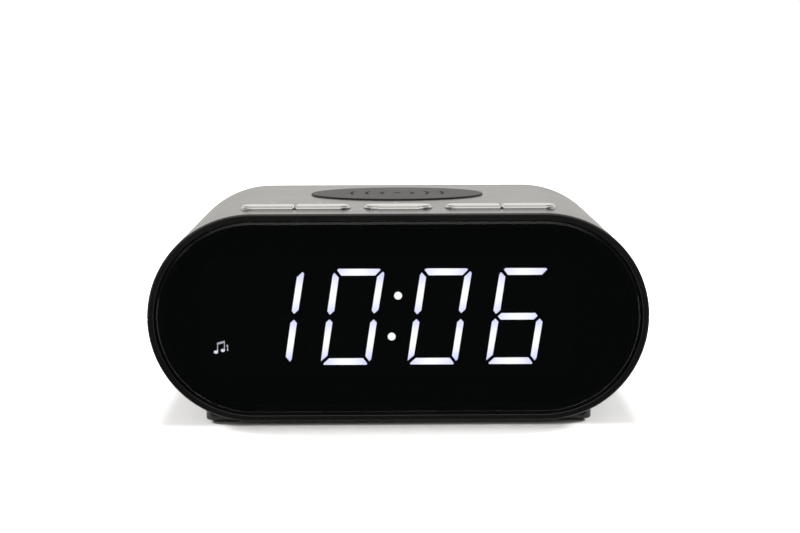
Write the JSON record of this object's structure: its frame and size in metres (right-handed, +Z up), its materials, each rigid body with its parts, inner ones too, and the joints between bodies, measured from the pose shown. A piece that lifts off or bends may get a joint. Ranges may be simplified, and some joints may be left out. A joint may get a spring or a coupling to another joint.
{
  "type": "clock radio",
  "caption": "Bedside clock radio: pill-section black casing, full-front dark lens with slanted digits, chromed keys and an oval phone-charging pad on top.",
  "frame": {"origin": "on the surface it stands on, under the middle of the casing", "axes": "+X to the right along the width, +Y from the display towards the back, +Z up"},
  "size_m": [0.2, 0.116, 0.0869],
  "materials": {
    "black_shell": "satin-gloss black moulding",
    "smoked_lens": "glossy smoked acrylic",
    "gasket_foam": "soft black foam tape",
    "display_housing": "matt black reflector box",
    "lit_led": "glowing cool white light bars",
    "unlit_led": "dark unlit light bars",
    "circuit_board": "green solder mask",
    "zinc_screw": "zinc-plated",
    "black_screw": "black oxide",
    "black_component": "moulded epoxy",
    "ribbon_white": "white flat cable",
    "socket_white": "cream nylon",
    "black_plastic": "fine texture",
    "plated_steel": "nickel-plated",
    "black_steel": "black e-coat",
    "zinc_steel": "zinc-plated",
    "ferrite": "sintered ferrite",
    "copper": "enamelled copper winding",
    "cone_paper": "black pulp",
    "surround_rubber": "black foam rubber",
    "pad_rubber": "matt black soft touch",
    "pad_ink": "black inlay",
    "foot_rubber": "black",
    "chromed_key": "bright satin chrome on plastic",
    "switch_plunger": "cream acetal",
    "black_cap": "black moulding",
    "capacitor_sleeve": "dark blue sleeve"
  },
  "bodies": {
    "root": {"battery_contact": "plated_steel", "capacitors": "capacitor_sleeve", "case_screws": "black_screw", "charger_parts": "black_component", "charger_pcb": "circuit_board", "charging_coil": "copper", "charging_pad": "pad_rubber", "coil_shield": "ferrite", "coil_tray": "black_plastic", "coin_cell": "plated_steel", "dc_jack": "black_plastic", "dc_pin": "plated_steel", "display_driver": "black_component", "display_module": "display_housing", "display_pcb": "circuit_board", "display_ribbon": "ribbon_white", "display_screws": "zinc_screw", "foot_pads": "foot_rubber", "front_lens": "smoked_lens", "key_pcb": "circuit_board", "key_pcb_screws": "zinc_screw", "key_ribbon": "ribbon_white", "lens_gasket": "gasket_foam", "lit_segments": "lit_led", "lower_shell": "black_shell", "main_chips": "black_component", "main_pcb": "circuit_board", "main_pcb_screws": "zinc_screw", "pad_symbol": "pad_ink", "rear_panel": "black_plastic", "ribbon_sockets": "socket_white", "speaker_frame": "black_steel", "speaker_gasket": "gasket_foam", "speaker_magnet": "ferrite", "speaker_screws": "zinc_screw", "speaker_surround": "surround_rubber", "speaker_top_plate": "zinc_steel", "speaker_yoke": "zinc_steel", "switch_bodies": "black_component", "tray_screws": "zinc_screw", "tuner_can": "plated_steel", "unlit_segments": "unlit_led", "upper_shell": "black_shell", "usb_shell": "plated_steel", "usb_tongue": "black_plastic"},
    "button_alarm_1": {"key_alarm_1": "chromed_key", "plunger_alarm_1": "switch_plunger"},
    "button_alarm_2": {"key_alarm_2": "chromed_key", "plunger_alarm_2": "switch_plunger"},
    "button_snooze": {"key_snooze": "chromed_key", "plunger_snooze": "switch_plunger"},
    "button_minus": {"key_minus": "chromed_key", "plunger_minus": "switch_plunger"},
    "button_plus": {"key_plus": "chromed_key", "plunger_plus": "switch_plunger"},
    "battery_cover": {"battery_cap": "black_cap"},
    "speaker_moving": {"speaker_cone": "cone_paper", "voice_coil": "copper", "speaker_dust_cap": "cone_paper"}
  },
  "joints": [
    {"name": "press_alarm_1", "type": "slide", "parent": "root", "child": "button_alarm_1", "axis": [0, 0, -1], "range_m": [0, 0.0005], "stiffness_N_per_m": 200, "springref_m": -0.002},
    {"name": "press_alarm_2", "type": "slide", "parent": "root", "child": "button_alarm_2", "axis": [0, 0, -1], "range_m": [0, 0.0005], "stiffness_N_per_m": 200, "springref_m": -0.002},
    {"name": "press_snooze", "type": "slide", "parent": "root", "child": "button_snooze", "axis": [0, 0, -1], "range_m": [0, 0.0005], "stiffness_N_per_m": 200, "springref_m": -0.002},
    {"name": "press_minus", "type": "slide", "parent": "root", "child": "button_minus", "axis": [0, 0, -1], "range_m": [0, 0.0005], "stiffness_N_per_m": 200, "springref_m": -0.002},
    {"name": "press_plus", "type": "slide", "parent": "root", "child": "button_plus", "axis": [0, 0, -1], "range_m": [0, 0.0005], "stiffness_N_per_m": 200, "springref_m": -0.002},
    {"name": "battery_cover_turn", "type": "hinge", "parent": "root", "child": "battery_cover", "pos_m": [0.04, -0.015, 0.003], "axis": [0, 0, 1], "range_deg": [0, 45]},
    {"name": "speaker_excursion", "type": "slide", "parent": "root", "child": "speaker_moving", "axis": [0, 1, 0], "range_m": [-0.0008, 0.0008], "stiffness_N_per_m": 600}
  ]
}
